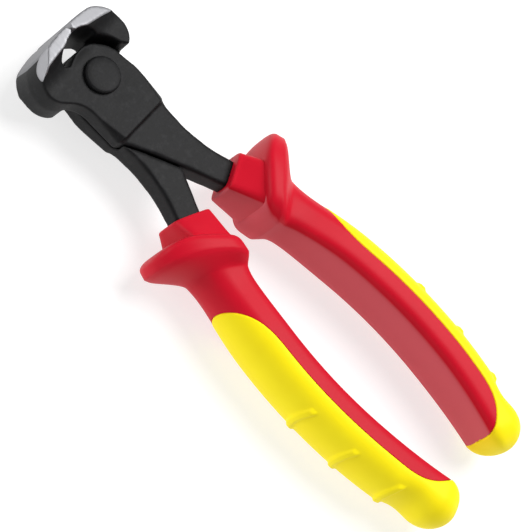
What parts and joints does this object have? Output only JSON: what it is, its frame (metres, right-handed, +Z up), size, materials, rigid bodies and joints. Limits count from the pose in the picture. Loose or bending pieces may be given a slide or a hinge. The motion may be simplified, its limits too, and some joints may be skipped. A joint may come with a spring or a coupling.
{
  "type": "end cutting nippers",
  "caption": "Hand nippers with wide end-cutting jaws on a riveted lap joint and bowed two-colour insulated handles with finger guards, closed and lying on their side.",
  "frame": {"origin": "middle of the closed tool, on the surface that it lies on", "axes": "+Y along the tool from the handle ends to the jaws, +Z up along the pivot axis, +X to the right as seen from above with the jaws away"},
  "size_m": [0.0544, 0.1586, 0.0244],
  "materials": {
    "black_steel": "satin black forged steel with ground bright cutting lips",
    "rivet_steel": "satin black steel",
    "red_sleeve": "moulded, satin",
    "yellow_grip": "moulded, satin"
  },
  "bodies": {
    "front_half": {"front_lever": "black_steel", "pivot_rivet": "rivet_steel", "right_sleeve": "red_sleeve", "right_grip": "yellow_grip"},
    "rear_half": {"rear_lever": "black_steel", "left_sleeve": "red_sleeve", "left_grip": "yellow_grip"}
  },
  "joints": [
    {"name": "pivot", "type": "hinge", "parent": "front_half", "child": "rear_half", "pos_m": [0, 0.06359, 0.0122], "axis": [0, 0, -1], "range_deg": [0, 40]}
  ]
}
